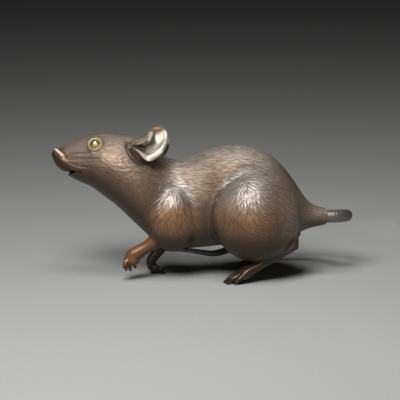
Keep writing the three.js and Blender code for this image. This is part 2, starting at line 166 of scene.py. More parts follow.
# Where the patina has turned browner on the flank and thigh: x, z, half width, half height
BROWN_PATCHES = [
    (4.7, 39.5, 4.5, 6.5), (20.5, 45.0, 8.0, 4.0), (24.5, 25.5, 6.0, 8.0), (12.5, 43.0, 4.0, 2.5),
]

# The patina: sizes of its clouds and specks as noise scales, and its roughness where kept and where rubbed
CLOUD_SCALE, SPECK_SCALE, SPECK_SHARE = 85.0, 1500.0, 0.5
PATINA_ROUGHNESS, WORN_ROUGHNESS, COAT_ROUGHNESS = 0.55, 0.34, 0.26
BUMP_HEIGHT = 0.0002
BRONZE_METALLIC = 0.45
BRONZE_THIN_COAT, BRONZE_COAT = 0.09, 0.75

# The body's tones where the metal is rubbed: the broad ones, then each zone's, with the share that it takes
BELLY_TONE = 0.060, 0.034, 0.018
FLANK_TONE = 0.165, 0.092, 0.048
RUMP_TONE = 0.54, 0.42, 0.31
# Paler higher up behind the head: partly the patina's grey-brown, partly painted top light
BACK_TONE_AND_TOP_LIGHT = 0.33, 0.25, 0.185
HEAD_TONE = 0.105, 0.062, 0.034
BLOTCH_TONE = 0.20, 0.115, 0.06
BLOTCH_SCALE = 70.0
ZONE_TONES = (
    ("brown", 0.8, (0.14, 0.070, 0.031)),
    # painted top light on surfaces that face up, with a weaker painted sheen on the snout's top
    ("painted_top_light", 0.8, (0.70, 0.61, 0.52)),
    # rubbed metal on the muscle tops, paler as a painted sheen where the highlight falls
    ("rubbed_and_sheen", 0.8, (0.28, 0.24, 0.205)),
    ("copper", 0.85, (0.46, 0.235, 0.115)),
    ("muzzle", 0.85, (0.28, 0.13, 0.052)),
    ("bare", 0.9, (0.055, 0.030, 0.017)),
    ("paw", 0.85, (0.36, 0.165, 0.072)),
    ("nose", 0.9, (0.055, 0.035, 0.022)),
    # painted shade on surfaces facing down and along the mouth's line
    ("painted_under_shade", 0.85, (0.026, 0.016, 0.009)),
    ("ear_inner", 1.0, (0.60, 0.57, 0.45)),
    # painted shade in the ear's hollows, behind the fold and beside the front roll
    ("ear_painted_shade", 0.94, (0.04, 0.028, 0.017)),
    ("ear_roll", 0.95, (0.20, 0.14, 0.095)),
    ("ear_tip", 0.95, (0.46, 0.28, 0.15)),
    # painted highlights along the ear's lower and back rims and the front roll's inner edge
    ("ear_painted_highlight", 1.0, (1.0, 0.90, 0.78)),
    # painted highlight on the nose's edge and a painted glint at the tail's collar
    ("painted_nose_highlight", 1.0, (0.95, 0.84, 0.72)),
    ("lid", 1.0, (0.48, 0.38, 0.22)),
)

# The studio, in metres
VIEW_TARGET = [-0.8, 0.0, 30.8]  # in figure millimetres
VIEW_LIFT = math.radians(10)
VIEW_DISTANCE = 1.0
# Each lamp: its name, place, aim, side, power in watts and spread in degrees
SOFTBOXES = (
    ("front_softbox", (-0.11, -0.42, 0.43), (0, 0, 0.02), 0.24, 1.05, 110),
    ("top_softbox", (0.02, -0.24, 0.74), (0.02, 0, 0), 0.32, 0.55, 110),
    ("ear_card", (-0.42, -0.34, 0.26), (-0.018, -0.012, 0.053), 0.03, 0.0045, 6),
)
SURROUNDINGS = 0.006, 0.006, 0.006
FLOOR_REACH = 4.0
FLOOR_GRAIN_SCALE = 1300.0
FLOOR_TONES = (0.46, 0.465, 0.45), (0.60, 0.605, 0.59)

body_low, body_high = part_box("body")
OFFSET = np.array([body_high.x * MM_PER_METRE - SOCKET_X, (body_low.y + body_high.y) * MM_PER_METRE / 2, 0.0])


def to_row(points):
    """Figure millimetres to the row's metres."""
    return (np.asarray(points) + OFFSET) / MM_PER_METRE


def ramp(value, low, high):
    """0 up to low and 1 from high on, with a smooth rise between them."""
    share = np.clip((value - low) / (high - low), 0, 1)
    return share * share * (3 - 2 * share)


def bell(gap, width):
    """1 at no distance, falling off smoothly over a width."""
    return np.exp(-((gap / width) ** 2))


def turned(points, angle):
    """Points turned about the head's axis, by one angle or each by its own."""
    y, z = points[:, 1], points[:, 2] - HEAD_AXIS_Z
    posed = points.copy()
    posed[:, 1] = y * np.cos(angle) - z * np.sin(angle)
    posed[:, 2] = z * np.cos(angle) + y * np.sin(angle) + HEAD_AXIS_Z
    return posed


def rolled(points):
    """Points of the upright head turned to the cocked pose."""
    return turned(points, -HEAD_ROLL)


def both_sides(points):
    """Points with the left side folded on to the right one."""
    return points * [1, 0, 1] + np.abs(points) * [0, 1, 0]


def head_upright(points):
    """Points of the cocked head turned upright, with both sides as one."""
    return both_sides(turned(points, HEAD_ROLL))


def body_upright(points):
    """Points with the head turned upright and the neck's twist taken out, with both sides as one."""
    return both_sides(turned(points, HEAD_ROLL * (1 - ramp(points[:, 0], ROLL_FULL_X, ROLL_NONE_X))))


def new_object(name, data):
    """A new object in the scene, with its mesh, lamp or lens."""
    piece = bpy.data.objects.new(name, data)
    bpy.context.scene.collection.objects.link(piece)
    return piece


def plain_mesh(piece):
    """The evaluated piece as a mesh of its own."""
    evaluated = piece.evaluated_get(bpy.context.evaluated_depsgraph_get())
    return bpy.data.meshes.new_from_object(evaluated)


def spline(points, steps, closed=False):
    """A centripetal curve through points, with a number of steps to each stretch."""
    if closed:
        ends = np.vstack([points[-1:], points, points[:2]])
    else:
        ends = np.vstack([2 * points[0] - points[1], points, 2 * points[-1] - points[-2]])
    course = []
    for p0, p1, p2, p3 in zip(ends, ends[1:], ends[2:], ends[3:]):
        t1 = math.sqrt(np.linalg.norm(p1 - p0))
        t2 = t1 + math.sqrt(np.linalg.norm(p2 - p1))
        t3 = t2 + math.sqrt(np.linalg.norm(p3 - p2))
        for t in np.linspace(t1, t2, steps, endpoint=False):
            a1 = p0 + (p1 - p0) * t / t1
            a2 = p1 + (p2 - p1) * (t - t1) / (t2 - t1)
            a3 = p2 + (p3 - p2) * (t - t2) / (t3 - t2)
            b1 = a1 + (a2 - a1) * t / t2
            b2 = a2 + (a3 - a2) * (t - t1) / (t3 - t1)
            course.append(b1 + (b2 - b1) * (t - t1) / (t2 - t1))
    return np.array(course if closed else course + [points[-1]])


def roll_along(line, thick, closed, around=10):
    """A round roll along a line, as the points and faces of a closed ring or of a capped rod."""
    ahead = np.roll(line, -1, 0) - np.roll(line, 1, 0)
    if not closed:
        ahead[0], ahead[-1] = line[1] - line[0], line[-1] - line[-2]
    ahead /= np.linalg.norm(ahead, axis=1, keepdims=True)
    out = line - line.mean(0) if closed else np.tile([0.0, 1.0, 0.0], (len(line), 1))
    out -= ahead * (out * ahead).sum(1, keepdims=True)
    out /= np.linalg.norm(out, axis=1, keepdims=True)
    across = np.cross(ahead, out)
    turns = np.arange(around) * 2 * math.pi / around
    rings = line[:, None] + thick[:, None, None] * (
        out[:, None] * np.cos(turns)[None, :, None] + across[:, None] * np.sin(turns)[None, :, None]
    )
    count = len(line)
    faces = [
        (i * around + j, i * around + (j + 1) % around,
         (i + 1) % count * around + (j + 1) % around, (i + 1) % count * around + j)
        for i in range(count if closed else count - 1) for j in range(around)
    ]
    if not closed:
        faces += [tuple(range(around)), tuple(range((count - 1) * around, count * around))]
    return rings.reshape(-1, 3), faces


def added_rolls():
    """What is added to the solid before its skin is evened: both ears' rolls and the web in the mouth."""
    for flank in (-1, 1):
        for points, radii, closed in EAR_ROLLS:
            line = spline(points, ROLL_STEPS, closed) * [1, flank, 1]
            ends = np.append(radii, radii[0]) if closed else radii
            thick = np.interp(np.arange(len(line)) / ROLL_STEPS, np.arange(len(ends)), ends)
            yield roll_along(rolled(line), thick, closed)
    yield roll_along(rolled(MOUTH_WEB), np.full(len(MOUTH_WEB), MOUTH_WEB_RADIUS), False)


def even_skin(name, voxel):
    """The casting's surface, with the ears' edges rolled, as an even closed mesh."""
    bm = bmesh.new()
    bm.from_mesh(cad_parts[name].data)
    bmesh.ops.remove_doubles(bm, verts=bm.verts, dist=1e-6)
    for points, faces in added_rolls():
        corners = [bm.verts.new(point) for point in to_row(points)]
        ring = [bm.faces.new([corners[i] for i in face]) for face in faces]
        bmesh.ops.recalc_face_normals(bm, faces=ring)
    source = bpy.data.meshes.new("skin_source")
    bm.to_mesh(source)
    bm.free()
    holder = new_object("skin_source", source)
    remesh = holder.modifiers.new("even", "REMESH")
    remesh.mode = "VOXEL"
    remesh.voxel_size = voxel / MM_PER_METRE
    mesh = plain_mesh(holder)
    bpy.data.objects.remove(holder)
    bpy.data.meshes.remove(source)
    return mesh


def neighbour_mean(values, a, b, valence):
    """The mean of each point's neighbours, from the edges' two ends and each point's count of edges."""
    total = np.empty_like(values)
    for k in range(values.shape[1]):
        column = values[:, k]
        total[:, k] = np.bincount(a, column[b], len(values)) + np.bincount(b, column[a], len(values))
    return total / valence[:, None]


class Skin:
    """The casting's surface while it is worked: points in figure millimetres, quads and edges."""

    def __init__(self, mesh):
        count = len(mesh.vertices)
        flat = np.empty(count * 3, np.float32)
        mesh.vertices.foreach_get("co", flat)
        self.co = flat.reshape(-1, 3).astype(float) * MM_PER_METRE - OFFSET
        corners = np.empty(len(mesh.loops), np.int32)
        mesh.loops.foreach_get("vertex_index", corners)
        self.quads = corners.reshape(-1, 4)
        ends = np.empty(len(mesh.edges) * 2, np.int32)
        mesh.edges.foreach_get("vertices", ends)
        self.a, self.b = ends.reshape(-1, 2).T
        self.valence = np.bincount(self.a, minlength=count) + np.bincount(self.b, minlength=count)
        self.count = count

    def mean_of_neighbours(self, values):
        """The mean over each point's neighbours."""
        return neighbour_mean(values, self.a, self.b, self.valence)

    def relax(self, weight, rounds, keep=0.9, step=0.6):
        """Melts facets where the weight is high, then gives back a share of the bulk that was lost."""
        active = weight > 0.002
        touched = active[self.a] | active[self.b]
        members = np.unique(np.concatenate([self.a[touched], self.b[touched]]))
        place = np.full(self.count, -1)
        place[members] = np.arange(len(members))
        a, b = place[self.a[touched]], place[self.b[touched]]
        valence = np.bincount(a, minlength=len(members)) + np.bincount(b, minlength=len(members))
        share = np.where(active[members], weight[members], 0)[:, None]
        before = self.co[members]
        now = before.copy()
        for _ in range(rounds):
            now += share * step * (neighbour_mean(now, a, b, valence) - now)
        drift = now - before
        for _ in range(rounds // 2):
            drift += step * (neighbour_mean(drift, a, b, valence) - drift)
        self.co[members] = now - keep * share * drift

    def soften(self, mask, rounds):
        """A mask spread out over its neighbours, round after round."""
        values = mask[:, None].astype(float)
        for _ in range(rounds):
            values = self.mean_of_neighbours(values)
        return values[:, 0]

    def normals(self):
        """Each point's unit normal, from the quads round it."""
        p = self.co[self.quads]
        facing = np.cross(p[:, 2] - p[:, 0], p[:, 3] - p[:, 1])
        total = np.zeros_like(self.co)
        for k in range(3):
            for corner in range(4):
                total[:, k] += np.bincount(self.quads[:, corner], facing[:, k], self.count)
        return total / np.linalg.norm(total, axis=1, keepdims=True)


def distance_to_line(points, line):
    """Least distance from each point to a polyline."""
    best = np.full(len(points), 1e9)
    for start, end in zip(line[:-1], line[1:]):
        run = end - start
        share = np.clip((points - start) @ run / (run @ run), 0, 1)
        best = np.minimum(best, np.linalg.norm(points - start - share[:, None] * run, axis=1))
    return best


def depth_in(points, muscle):
    """1 on a muscle's surface, less inside it, taking both flanks as one."""
    centre, radii, lean = muscle
    x, y, z = (both_sides(points) - centre).T
    out = y * math.cos(lean) + z * math.sin(lean)
    rise = z * math.cos(lean) - y * math.sin(lean)
    return np.linalg.norm(np.stack([x, out, rise], 1) / radii, axis=1)


def ear_cloud():
    """Points over the upright ear's inner and outer faces, with 1 on the inner one."""
    closed = np.vstack([EAR_RIM, EAR_RIM[:1]])
    rim = np.array([
        closed[i] + (closed[i + 1] - closed[i]) * share
        for i in range(len(EAR_RIM)) for share in (0, 0.25, 0.5, 0.75)
    ])
    deep = (EAR_ROOT - EAR_FLOOR) / np.linalg.norm(EAR_ROOT - EAR_FLOOR)
    points, inner = [], []
    for share in np.linspace(0.1, 1, 14):
        sag = share * (1 - share)
        points.append(EAR_FLOOR + (rim - EAR_FLOOR) * share + deep * EAR_CUP_SAG * sag)
        points.append(EAR_ROOT + (rim - EAR_ROOT) * share + deep * (EAR_BACK_SAG * sag + EAR_BACK_GAP))
        inner += [1] * len(rim) + [0] * len(rim)
    folds = np.vstack([spline(EAR_FRONT, 6), spline(EAR_FOLD, 6)])
    return np.vstack(points + [folds]), np.append(inner, np.zeros(len(folds)))


def zones(skin):
    """Masks over the skin, 0 to 1, for ears, lids, feet and muzzle, and the points with the head upright."""
    co = skin.co
    up = body_upright(co)
    head = head_upright(co)
    near_ear = np.where((head > EAR_BOX_LOW).all(1) & (head[:, 0] < EAR_BOX_HIGH_X))[0]
    cloud, inner = ear_cloud()
    ear = np.zeros(skin.count)
    ear_inner = np.zeros(skin.count)
    for chunk in np.array_split(near_ear, max(1, len(near_ear) // EAR_CHUNK)):
        gap = np.linalg.norm(head[chunk][:, None] - cloud[None], axis=2)
        ear[chunk] = 1 - ramp(gap.min(1), 1.3, 2.2)
        ear_inner[chunk] = ear[chunk] * inner[gap.argmin(1)]
    eye_gap = np.linalg.norm(head - EYE, axis=1)
    haunch = 1 - ramp(np.abs(depth_in(co, HAUNCH) - 1), 0.06, 0.12)
    haunch *= ramp(co[:, 2], 9.5, 12.5) * (1 - ramp(co[:, 0], 34.5, 36.5) * (1 - ramp(co[:, 2], 17, 20)))
    feet = np.stack([1 - ramp(distance_to_line(co, line), reach - FOOT_EDGE, reach) for line, reach in FEET])
    feet *= 1 - 0.95 * haunch
    return {
        "upright": up,
        "ear": ear,
        "ear_inner": ear_inner,
        "eye_gap": eye_gap,
        "feet": feet.max(0),
        "paw": feet[0],
        "muzzle": 1 - ramp(up[:, 0] + 0.25 * (up[:, 2] - 47), -55.5, -51.5),
        "lid": 1 - ramp(eye_gap, *LID_FADE),
    }


def shape_skin(skin):
    """Melts the solid's facets, most on the trunk and least on the thin parts. Returns the zones after it."""
    zone = zones(skin)
    x, _, z = skin.co.T
    thigh_front = (1 - ramp(depth_in(skin.co, HAUNCH) - 1, 0.02, 0.16)) * (1 - ramp(x, 6, 16))
    thigh_front *= 1 - ramp(z, 34, 42)
    arm = (1 - ramp(depth_in(skin.co, SHOULDER) - 1, 0.02, 0.2)) * (1 - ramp(z, 22, 32))
    tail_cone = 0.9 * ramp(x, 45, 48)
    nose_end = 0.75 * (1 - ramp(zone["upright"][:, 0], -54, -48))
    thin = np.maximum.reduce([zone["ear"], zone["feet"], zone["lid"], tail_cone, nose_end])
    skin.relax((1 - thin) * (1 - np.maximum(0.92 * thigh_front, 0.5 * arm)), rounds=110)
    x, _, z = skin.co.T
    rump = ramp(x, 30, 36) * (1 - ramp(x, 44, 47)) * ramp(z, 18.5, 21)
    skin.relax(rump * (1 - thin), rounds=260, keep=0.3)
    skin.relax(0.25 + 0.45 * zone["ear"], rounds=16)
    lining = zones(skin)["ear_inner"]
    skin.relax(0.7 * lining, rounds=40, keep=0.8)
    return zones(skin)


def seen_flat(line):
    """A line given as x and z, laid in the plane of the spine."""
    return np.array([(x, 0.0, z) for x, z in line])


def model_face(skin, zone):
    """Models whisker grooves, mouth, nose, ear linings and thigh crease. Returns the depth cut, 0 to 1."""
    normals = skin.normals()
    up = zone["upright"]
    flat = up * [1, 0, 1]
    push = np.zeros(skin.count)
    for groove in WHISKER_GROOVES:
        gap = distance_to_line(flat, seen_flat(groove))
        ends = np.linalg.norm(flat[:, None] - seen_flat([groove[0], groove[-1]])[None], axis=2).min(1)
        push -= GROOVE_DEPTH * bell(gap, GROOVE_WIDTH)
        push += GROOVE_RIDGE * bell(gap - GROOVE_RIDGE_GAP, GROOVE_RIDGE_WIDTH) * ramp(ends, 1.0, 2.6)
    push -= MOUTH_DEPTH * bell(distance_to_line(flat, seen_flat(MOUTH_LINE)), MOUTH_WIDTH)
    push *= ramp(up[:, 1], 1.5, 3.0)
    push += NOSE_EDGE_HEIGHT * bell(distance_to_line(up, NOSE_EDGE), NOSE_EDGE_WIDTH)
    push -= NOSE_CREASE_DEPTH * bell(distance_to_line(up, NOSE_CREASE), NOSE_CREASE_WIDTH)
    x, _, z = skin.co.T
    thigh_front = (1 - ramp(x, 7, 13)) * ramp(z, 13, 18) * (1 - ramp(z, 34, 40))
    crease = bell(depth_in(skin.co, HAUNCH) - THIGH_CREASE_AT, THIGH_CREASE_WIDTH)
    push -= THIGH_CREASE_DEPTH * thigh_front * crease
    back_rim = EAR_FLOOR + (EAR_RIM[2:6] - EAR_FLOOR) * EAR_SWELL_AT
    swell = bell(distance_to_line(head_upright(skin.co), back_rim), EAR_SWELL_WIDTH)
    push += zone["ear_inner"] * EAR_SWELL_HEIGHT * swell
    skin.co += normals * push[:, None]
    return np.clip(-push / SCORED_DEPTH, 0, 1)


def whorl_share(gap, out, reach, flank):
    """How far the hair turns away from a whorl, fading with distance and above the whorl."""
    return (1 - ramp(gap, *reach)) * (1 - ramp(out[:, 1], -1.5, 2)) * flank


def mixed(first, second, share):
    """One set of vectors turned into another by each point's share."""
    return first * (1 - share[:, None]) + second * share[:, None]


def flow_over(skin, normals, zone):
    """Unit direction of the hair at each point, laid flat on the skin."""
    co = skin.co
    x, y, z = co.T
    flank = ramp(np.abs(y), 5, 9)
    neck = (1 - ramp(x, -22, -8)) * (1 - ramp(zone["upright"][:, 2], 34, 50))
    rump = ramp(x, 22, 34) * (1 - ramp(x, 38, 44))
    lay = np.zeros_like(co)
    lay[:, 0] = 1
    lay[:, 2] = -0.15 + 0.12 * np.sin(0.35 * x + 0.5 * z) - 0.55 * neck - 0.35 * rump

    out = np.stack([x, z], 1) - SHOULDER_WHORL
    gap = np.linalg.norm(out, axis=1) + 1e-6
    spoke = np.zeros_like(co)
    spoke[:, 0], spoke[:, 2] = (out / gap[:, None]).T
    lay = mixed(lay, spoke, whorl_share(gap, out, (15, 24), flank) * (1 - ramp(np.abs(out[:, 0]), 9, 14)))

    out = np.stack([x, z], 1) - THIGH_WHORL
    gap = np.linalg.norm(out, axis=1) + 1e-6
    turn = 0.8 * ramp(gap, 8, 21) * ramp(out[:, 0], -8, 7)
    spoke[:, 0] = out[:, 0] / gap * (1 - turn) + turn
    spoke[:, 2] = out[:, 1] / gap * (1 - turn) - 0.25 * turn
    on_thigh = 1 - ramp(np.abs(depth_in(co, HAUNCH) - 1), 0.1, 0.25)
    on_thigh = np.maximum(on_thigh, 1 - ramp(gap, 5, 10))
    lay = mixed(lay, spoke, whorl_share(gap, out, (24, 34), flank) * on_thigh)
    lay -= normals * (lay * normals).sum(1, keepdims=True)
    return lay / (np.linalg.norm(lay, axis=1, keepdims=True) + 1e-9)


def has_room(place, way, spacing, others):
    """Whether no other stroke starts within the spacing of a place, which reaches further along the hair."""
    px, py, pz = place
    wx, wy, wz = way
    for ox, oy, oz in others:
        dx, dy, dz = ox - px, oy - py, oz - pz
        run = dx * wx + dy * wy + dz * wz
        beside = dx * dx + dy * dy + dz * dz - run * run
        if run * run / STROKE_ASPECT ** 2 + beside < spacing * spacing:
            return False
    return True


def stroke_seeds(skin, lay, furred, spacing, rng):
    """Points where strokes start, spread evenly, closer across the hair than along it."""
    places, ways = skin.co.tolist(), lay.tolist()
    keys = np.floor(skin.co / CELL).astype(int).tolist()
    order = rng.permutation(np.where(furred > 0.5)[0])[:STROKE_TRIES]
    steps = [(a, b, c) for a in (-1, 0, 1) for b in (-1, 0, 1) for c in (-1, 0, 1)]
    taken = {}
    seeds = []
    for v in order.tolist():
        i, j, k = keys[v]
        others = (place for a, b, c in steps for place in taken.get((i + a, j + b, k + c), ()))
        if has_room(places[v], ways[v], spacing[v], others):
            taken.setdefault((i, j, k), []).append(places[v])
            seeds.append(v)
    return seeds


def points_by_cell(co):
    """The points' numbers, gathered by the cell that each lies in."""
    cells = {}
    for v, key in enumerate(map(tuple, np.floor(co / CELL).astype(int).tolist())):
        cells.setdefault(key, []).append(v)
    return {key: np.array(group) for key, group in cells.items()}


def points_near(cells, place, reach):
    """The points' numbers in the cells within reach of a place."""
    low = np.floor((place - reach) / CELL).astype(int).tolist()
    high = np.floor((place + reach) / CELL).astype(int).tolist()
    keys = (
        (i, j, k)
        for i in range(low[0], high[0] + 1)
        for j in range(low[1], high[1] + 1)
        for k in range(low[2], high[2] + 1)
    )
    return np.concatenate([cells[key] for key in keys if key in cells])


def chase_fur(skin, zone):
    """Cuts the graver's short strokes along the lie of the hair. Returns the depth cut, 0 to 1."""
    rng = np.random.default_rng(FUR_SEED)
    normals = skin.normals()
    lay = flow_over(skin, normals, zone)
    co = skin.co.copy()
    up = zone["upright"]
    furred = 1 - np.maximum.reduce([zone["ear"], zone["feet"], zone["muzzle"], zone["lid"]])
    furred *= 1 - ramp(co[:, 0], 46.5, 48.5)
    snout = 1 - ramp(up[:, 0] + 0.5 * (50 - up[:, 2]), -50, -43)
    head = 1 - ramp(up[:, 0], -36, -14)
    cells = points_by_cell(co)
    cut = np.zeros(skin.count)
    for v in stroke_seeds(skin, lay, furred, STROKE_SPACING - HEAD_STROKE_CLOSER * head, rng):
        length = (STROKE_LENGTH - HEAD_STROKE_SHORTER * head[v]) * rng.uniform(*STROKE_LENGTH_SPREAD)
        width = rng.uniform(*STROKE_WIDTHS)
        turn = rng.normal(0, STROKE_WANDER)
        ahead = lay[v] * math.cos(turn) + np.cross(normals[v], lay[v]) * math.sin(turn)
        near = points_near(cells, co[v], length / 2)
        gap = co[near] - co[v]
        along = (gap @ ahead) / (length / 2)
        beside = gap @ np.cross(normals[v], ahead)
        inside = (np.abs(along) < 1) & (np.abs(beside) < 3 * width)
        inside &= np.abs(gap @ normals[v]) < STROKE_REACH
        depth = rng.uniform(*STROKE_DEPTH_SPREAD) * (1 - along[inside] ** 2) ** 0.8
        hit = near[inside]
        cut[hit] = np.maximum(cut[hit], depth * bell(beside[inside], width))
    cut *= furred
    soft = 0.7 + 0.3 * ramp(co[:, 2], 15, 27)
    soft *= (1 - 0.25 * ramp(co[:, 0], 26, 36)) * (1 - 0.75 * snout) * (1 - 0.22 * head)
    skin.co -= normals * (cut * STROKE_DEPTH * soft)[:, None]
    return cut * soft


def ear_looks(co, zone):
    """Shares, from 0 to 1, of the ears' front roll, tip, painted highlights on the edges and painted shade in
    the hollows.
    """
    head = head_upright(co)
    spokes = EAR_RIM - EAR_FLOOR
    lower_rim = EAR_FLOOR + np.stack([spokes[2], 0.5 * (spokes[2] + spokes[3]), spokes[3]])
    back_rim = EAR_FLOOR + 0.5 * (spokes[4] + spokes[5]) * np.array([[0.7], [0.95]])
    # Painted highlight: lines along the lower rim, the back rim and the front roll's inner edge
    painted_highlight = np.minimum.reduce([
        distance_to_line(head, lower_rim),
        distance_to_line(head, back_rim) - 0.6,
        1.15 * distance_to_line(head, EAR_FRONT_EDGE) + 0.4,
    ])
    # Painted shade lies in hollows that follow these spokes of the rim, from the cup's floor out to a share
    # of their length
    hollows = [
        distance_to_line(head, EAR_FLOOR + spokes[spoke] * np.array([[0.1], [far]]))
        for spoke, far in ((8, 0.9), (7, 0.7), (0, 0.8), (1, 0.5))
    ]
    front_shade = distance_to_line(head, EAR_FRONT_EDGE + EAR_FRONT_SHADE)
    painted_shade_gap = np.minimum.reduce([distance_to_line(head, EAR_POCKET) + 0.5, front_shade] + hollows)
    front_roll = distance_to_line(head, EAR_FRONT + [-0.2, 0.0, 0.2])
    tip = distance_to_line(head, EAR_RIM[[5, 6]])
    return {
        "ear_roll": zone["ear"] * (1 - ramp(front_roll, 1.4, 1.9)),
        "ear_tip": zone["ear"] * (1 - ramp(tip, 1.5, 2.2)),
        "ear_painted_highlight": zone["ear"] * (1 - ramp(painted_highlight, 0.6, 1.8)),
        "ear_painted_shade": np.maximum(zone["ear_inner"], 1 - ramp(painted_shade_gap, 0.6, 1.6)) * (1 - ramp(painted_shade_gap, 0.9, 2.6)),
    }


def muscle_looks(co):
    """Shares of the copper on the shoulder and thigh, and of the rubbed metal above it, whose paler colour is
    also a painted sheen where the highlight falls.
    """
    x, _, z = co.T
    on_arm = 1 - ramp(depth_in(co, SHOULDER), 1.0, 1.3)
    on_thigh = 1 - ramp(depth_in(co, HAUNCH), 1.0, 1.12)
    arm_copper = on_arm * ramp(z, 15, 22) * (1 - ramp(z, 27, 34))
    thigh_copper = 0.75 * on_thigh * ramp(z, 14, 23) * (1 - ramp(z, 28, 36)) * (1 - ramp(x, 22, 32))
    rubbed_and_sheen = np.maximum(on_arm, on_thigh * (1 - ramp(x, 20, 34))) * ramp(z, 24, 33)
    return {"copper": np.maximum(arm_copper, thigh_copper), "rubbed_and_sheen": rubbed_and_sheen}


def face_looks(zone, normals):
    """Shares of the dark nose, the painted highlight on its edge, the mouth's line darkened as painted shade,
    and the painted sheen on top of the snout.
    """
    up = zone["upright"]
    nose = 1 - ramp(0.93 * (up[:, 0] + 58.1) + up[:, 2] - 51.1, -3.2, -0.4)
    nose *= 1 - ramp(up[:, 0], -53, -50)
    painted_snout_sheen = ramp(normals[:, 2], 0.2, 0.65) * (1 - ramp(up[:, 0], -45, -38)) * (1 - nose)
    return {
        "nose": nose,
        "painted_nose_highlight": 1 - ramp(distance_to_line(up, NOSE_EDGE), 0.2, 0.62),
        "mouth": 1 - ramp(distance_to_line(up * [1, 0, 1], seen_flat(MOUTH_LINE)), 0.55, 1.0),
        "painted_snout_sheen": painted_snout_sheen,
    }


def body_looks(skin, zone, normals):
    """The shares that the patina reads from the mesh, by attribute."""
    co = skin.co
    x, _, z = co.T
    face = face_looks(zone, normals)
    muscle = muscle_looks(co)
    off_ear = 1 - zone["ear"]
    # A painted glint at the tail's collar, laid in with the nose edge's painted highlight
    painted_collar_glint = ramp(x, 49.3, 49.9) * ramp(z, 25.2, 26.4)
    # Painted top light: surfaces facing up are paler, more behind the head
    painted_top_light = skin.soften(ramp(normals[:, 2], 0.55, 0.95), rounds=10) * off_ear
    painted_top_light *= ramp(z, 24, 40) * (0.5 + 0.5 * ramp(x, -36, -14))
    # Painted shade: surfaces facing down, and the mouth's line, are darkened
    painted_underside_shade = skin.soften(ramp(-normals[:, 2], -0.35, 0.45), rounds=6) * off_ear
    browner = [bell(x - at_x, wide) * bell(z - at_z, tall) for at_x, at_z, wide, tall in BROWN_PATCHES]
    bare = np.maximum(zone["feet"], zone["ear"] * (1 - zone["ear_inner"]))
    return {
        "copper": skin.soften(muscle["copper"], rounds=8),
        "rubbed_and_sheen": skin.soften(muscle["rubbed_and_sheen"], rounds=8),
        "brown": np.max(browner, axis=0),
        "painted_top_light": np.maximum(painted_top_light, 0.4 * skin.soften(face["painted_snout_sheen"], rounds=10)),
        "painted_under_shade": np.maximum(painted_underside_shade, face["mouth"]),
        "bare": skin.soften(bare, rounds=4),
        "paw": skin.soften(zone["paw"], rounds=4),
        "muzzle": skin.soften(zone["muzzle"], rounds=6),
        "nose": skin.soften(face["nose"], rounds=6),
        "painted_nose_highlight": np.maximum(face["painted_nose_highlight"], painted_collar_glint),
        "lid": zone["lid"] * (1 - ramp(zone["eye_gap"], *LID_GILT_FADE)),
        "ear_inner": skin.soften(zone["ear_inner"], rounds=3),
        **ear_looks(co, zone),
    }


def thinned(name, mesh, triangles):
    """The mesh as an object, thinned to a number of triangles."""
    holder = new_object(name, mesh)
    thin = holder.modifiers.new("thin", "DECIMATE")
    thin.ratio = min(1, triangles / (2 * len(mesh.polygons)))
    final = plain_mesh(holder)
    holder.modifiers.clear()
    holder.data = final
    bpy.data.meshes.remove(mesh)
    final.shade_smooth()
    return holder


def body_piece(metal):
    """The casting, with its face modelled, its fur chased and its looks kept as attributes."""
    mesh = even_skin("body", SKIN_VOXEL)
    skin = Skin(mesh)
    zone = shape_skin(skin)
    scored = model_face(skin, zone)
    normals = skin.normals()
    # Hollows keep darker patina, which also paints shade into the creases
    hollow_patina_and_shade = ((skin.mean_of_neighbours(skin.co) - skin.co) * normals).sum(1)
    hollow_patina_and_shade = np.clip(skin.soften(hollow_patina_and_shade, rounds=12) / DEEP_HOLLOW, 0, 1)
    groove = np.maximum(chase_fur(skin, zone), 0.5 * scored)
    mesh.vertices.foreach_set("co", to_row(skin.co).astype(np.float32).ravel())
    looks = {"groove": groove, "hollow_patina_and_shade": hollow_patina_and_shade, **body_looks(skin, zone, normals)}
    for name, values in looks.items():
        layer = mesh.attributes.new(name, "FLOAT", "POINT")
        layer.data.foreach_set("value", values.astype(np.float32))
    piece = thinned("mouse_body", mesh, SKIN_TRIANGLES)
    piece.data.materials.clear()
    piece.data.materials.append(metal)
    return piece


def tail_course(steps=18):
    """Points and radii along the tail, in figure millimetres, with the tip rounded off."""
    points = spline(TAIL_PATH, steps)
    share = np.linspace(0, 1, len(points))
    radii = TAIL_RADIUS + (TAIL_TIP_RADIUS - TAIL_RADIUS) * share ** TAIL_TAPER
    tip = np.clip(np.linalg.norm(points - points[-1], axis=1) / TAIL_TIP_LENGTH, 0, 1)
    return points, radii * np.sqrt(np.clip(1 - (1 - tip) ** 2, 0.02, 1))


